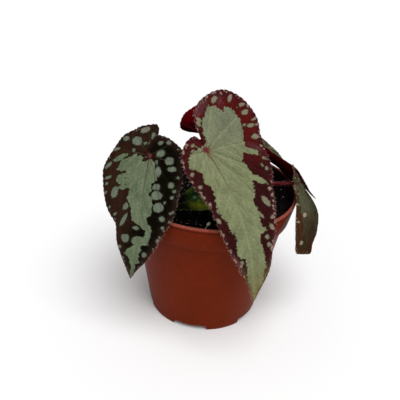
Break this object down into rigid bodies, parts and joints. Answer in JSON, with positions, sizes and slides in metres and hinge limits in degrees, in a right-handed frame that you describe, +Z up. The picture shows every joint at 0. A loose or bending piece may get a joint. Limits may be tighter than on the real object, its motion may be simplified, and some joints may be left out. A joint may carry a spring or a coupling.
{
  "type": "potted begonia",
  "caption": "Young painted-leaf begonia: large pointed patterned leaves on red stalks in a small round tapered nursery pot of dark soil.",
  "frame": {"origin": "centre of the pot's underside, on the flat pad it rests on", "axes": "+Z up along the pot's axis, -Y towards the front, where the two large leaves hang over the rim, +X to the right as seen from the front"},
  "size_m": [0.1044, 0.0929, 0.124],
  "materials": {
    "pot_plastic": "moulded, slightly satin, terracotta colour",
    "potting_soil": "moist peat with crumbs and a few white grains",
    "red_stalk": "fleshy, finely hairy",
    "pale_shoot": "fleshy, moist",
    "leaf_dark": "dark brown-maroon with a silver centre and pale spots, crimson beneath",
    "leaf_silver": "silver-green centre, red-maroon margin with pale spots, crimson beneath",
    "leaf_back": "green-brown with pale spots, crimson beneath",
    "leaf_dull": "dull green-brown with long streaks, crimson beneath",
    "leaf_young": "young green with tiny pale spots"
  },
  "bodies": {
    "root": {"pot": "pot_plastic", "soil": "potting_soil", "rootstock": "red_stalk", "seedling": "pale_shoot", "blade_left": "leaf_dark", "blade_front": "leaf_silver", "blade_back": "leaf_back", "blade_right": "leaf_dull", "blade_young": "leaf_young"}
  },
  "joints": []
}
